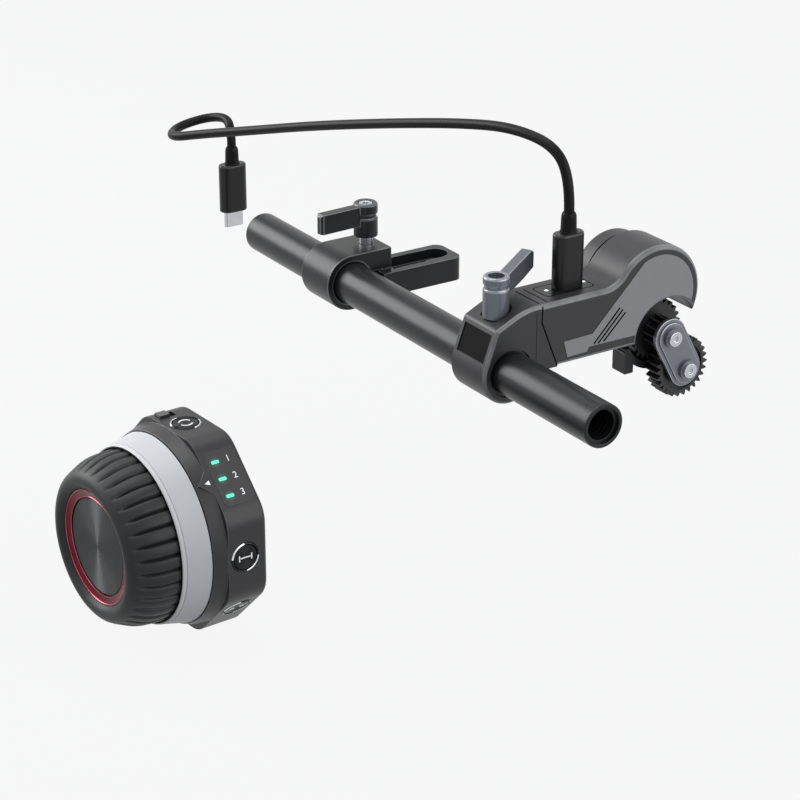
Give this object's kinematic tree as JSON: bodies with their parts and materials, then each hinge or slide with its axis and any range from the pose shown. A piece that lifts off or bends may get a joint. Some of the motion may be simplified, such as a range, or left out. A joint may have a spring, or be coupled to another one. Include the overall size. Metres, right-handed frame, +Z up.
{
  "type": "follow focus unit",
  "caption": "Wireless follow focus: geared motor on a 15 mm rod with a slotted mounting clamp, a USB cable and a hand controller with a ribbed knob.",
  "frame": {"origin": "a point on the underside of the slotted plate beside the rear rod clamp, at mid-width, between the plate screw and the slot", "axes": "+Y along the rod from the motor end to the rear end, +Z up out of the plate, +X toward the motor's gears; the hand unit's knob faces -X, turned 3.5 degrees toward -Y"},
  "size_m": [0.2118, 0.2831, 0.1653],
  "materials": {
    "black_anodised": "satin black anodised",
    "gunmetal_anodised": "satin gunmetal anodised",
    "link_grey": "satin grey anodised",
    "screw_steel": "bright steel",
    "brass": "turned brass",
    "housing_black": "fine matte charcoal",
    "accent_grey": "satin grey",
    "panel_black": "gloss black",
    "light_white": "clear light pipe",
    "light_green": "lit green window",
    "gear_black": "satin black acetal",
    "cable_black": "smooth black jacket",
    "plug_black": "satin black",
    "connector_steel": "plated steel",
    "grip_rubber": "matte black rubber",
    "red_anodised": "bright dark red anodised",
    "spun_black": "spun black anodised",
    "ring_grey": "matte light grey",
    "bezel_chrome": "chrome",
    "button_black": "gloss black",
    "bearing_steel": "ground steel",
    "motor_steel": "plated steel can",
    "board_green": "solder mask",
    "battery_wrap": "film wrap"
  },
  "bodies": {
    "base": {"rear_clamp": "black_anodised", "slot_plate": "black_anodised", "plate_screw": "screw_steel", "controller_body": "housing_black", "controller_back": "housing_black", "back_screws": "screw_steel", "tripod_insert": "brass", "marking_ring": "ring_grey", "knob_bearings": "bearing_steel", "controller_board": "board_green", "battery": "battery_wrap", "light_panel": "panel_black", "indicator_lights": "light_green", "button_bezels": "bezel_chrome", "button_switches": "panel_black"},
    "rod": {"rod": "black_anodised"},
    "rear_stud": {"rear_lever_stud": "screw_steel", "rear_lever_screw": "screw_steel", "rear_lever_spring": "screw_steel"},
    "rear_handle": {"rear_lever_handle": "black_anodised"},
    "motor_unit": {"motor_clamp": "housing_black", "clamp_pad": "brass", "clamp_bolts": "screw_steel", "motor_shell": "housing_black", "accent_plate": "accent_grey", "status_panel": "panel_black", "status_lights": "light_white", "motor_board": "board_green", "motor_usb_socket": "connector_steel", "motor_rear_cover": "housing_black", "cover_screws": "screw_steel", "base_screws": "screw_steel", "motor_can": "motor_steel", "gearbox": "motor_steel", "output_bearings": "bearing_steel", "motor_plug": "plug_black", "motor_plug_relief": "cable_black", "motor_plug_shell": "connector_steel", "cable": "cable_black", "far_plug": "plug_black", "far_plug_relief": "cable_black", "far_plug_shell": "connector_steel"},
    "front_stud": {"front_lever_stud": "screw_steel", "front_lever_screw": "screw_steel", "front_lever_spring": "screw_steel"},
    "front_handle": {"front_lever_handle": "gunmetal_anodised"},
    "gear_arm": {"swing_arm": "black_anodised", "link_plate": "link_grey", "link_screws": "screw_steel", "gear_axles": "bearing_steel"},
    "drive": {"drive_gear": "gear_black"},
    "idler": {"idler_gear": "gear_black"},
    "knob": {"knob_core": "housing_black", "knob_grip": "grip_rubber", "red_ring": "red_anodised", "knob_cap": "spun_black"},
    "mode_key": {"mode_button": "button_black"},
    "cal_key": {"cal_button": "button_black"},
    "trim_key": {"trim_button": "button_black"},
    "power_slider": {"power_switch": "button_black"}
  },
  "joints": [
    {"name": "rod_turn", "type": "hinge", "parent": "base", "child": "rod", "pos_m": [-0.01915, 0.0055, 0.0065], "axis": [0, -1, 0], "range_deg": [-60, 90]},
    {"name": "motor_slide", "type": "slide", "parent": "rod", "child": "motor_unit", "axis": [0, 1, 0], "range_m": [-0.04, 0.07]},
    {"name": "rear_lever_turn", "type": "hinge", "parent": "base", "child": "rear_stud", "pos_m": [-0.00765, 0.00525, 0.017], "axis": [0, 0, 1], "range_deg": [-15, 100]},
    {"name": "rear_lever_lift", "type": "slide", "parent": "rear_stud", "child": "rear_handle", "axis": [0, 0, 1], "range_m": [0, 0.003], "stiffness_N_per_m": 600, "springref_m": -0.002, "deforming": ["rear_lever_spring"]},
    {"name": "front_lever_turn", "type": "hinge", "parent": "motor_unit", "child": "front_stud", "pos_m": [-0.01915, -0.09375, 0.0238], "axis": [0, 0, 1], "range_deg": [-10, 100]},
    {"name": "front_lever_lift", "type": "slide", "parent": "front_stud", "child": "front_handle", "axis": [0, 0, 1], "range_m": [0, 0.003], "stiffness_N_per_m": 600, "springref_m": -0.002, "deforming": ["front_lever_spring"]},
    {"name": "arm_swing", "type": "hinge", "parent": "motor_unit", "child": "gear_arm", "pos_m": [0.04685, -0.09175, 0.0055], "axis": [0, -1, 0], "range_deg": [-12, 45]},
    {"name": "drive_turn", "type": "hinge", "parent": "gear_arm", "child": "drive", "pos_m": [0.04685, -0.09625, 0.0055], "axis": [0, -1, 0], "continuous": true},
    {"name": "idler_turn", "type": "hinge", "parent": "gear_arm", "child": "idler", "pos_m": [0.05403, -0.10325, -0.0079], "axis": [0, -1, 0], "continuous": true},
    {"name": "knob_turn", "type": "hinge", "parent": "base", "child": "knob", "pos_m": [-0.12815, -0.03845, -0.051], "axis": [0.9981, 0.061, 0], "range_deg": [-150, 150]},
    {"name": "mode_press", "type": "slide", "parent": "base", "child": "mode_key", "axis": [0, 0, -1], "range_m": [0, 0.0006], "stiffness_N_per_m": 1500, "springref_m": -0.0006},
    {"name": "cal_press", "type": "slide", "parent": "base", "child": "cal_key", "axis": [-0.061, 0.9981, 0], "range_m": [0, 0.0006], "stiffness_N_per_m": 1500, "springref_m": -0.0006},
    {"name": "trim_press", "type": "slide", "parent": "base", "child": "trim_key", "axis": [-0.0432, 0.7058, 0.7071], "range_m": [0, 0.0006], "stiffness_N_per_m": 1500, "springref_m": -0.0006},
    {"name": "power_slide", "type": "slide", "parent": "base", "child": "power_slider", "axis": [0.9981, 0.061, 0], "range_m": [0, 0.0025]}
  ],
  "couplings": [
    {"joint": "idler_turn", "follows": "drive_turn", "ratio": -0.46154}
  ]
}
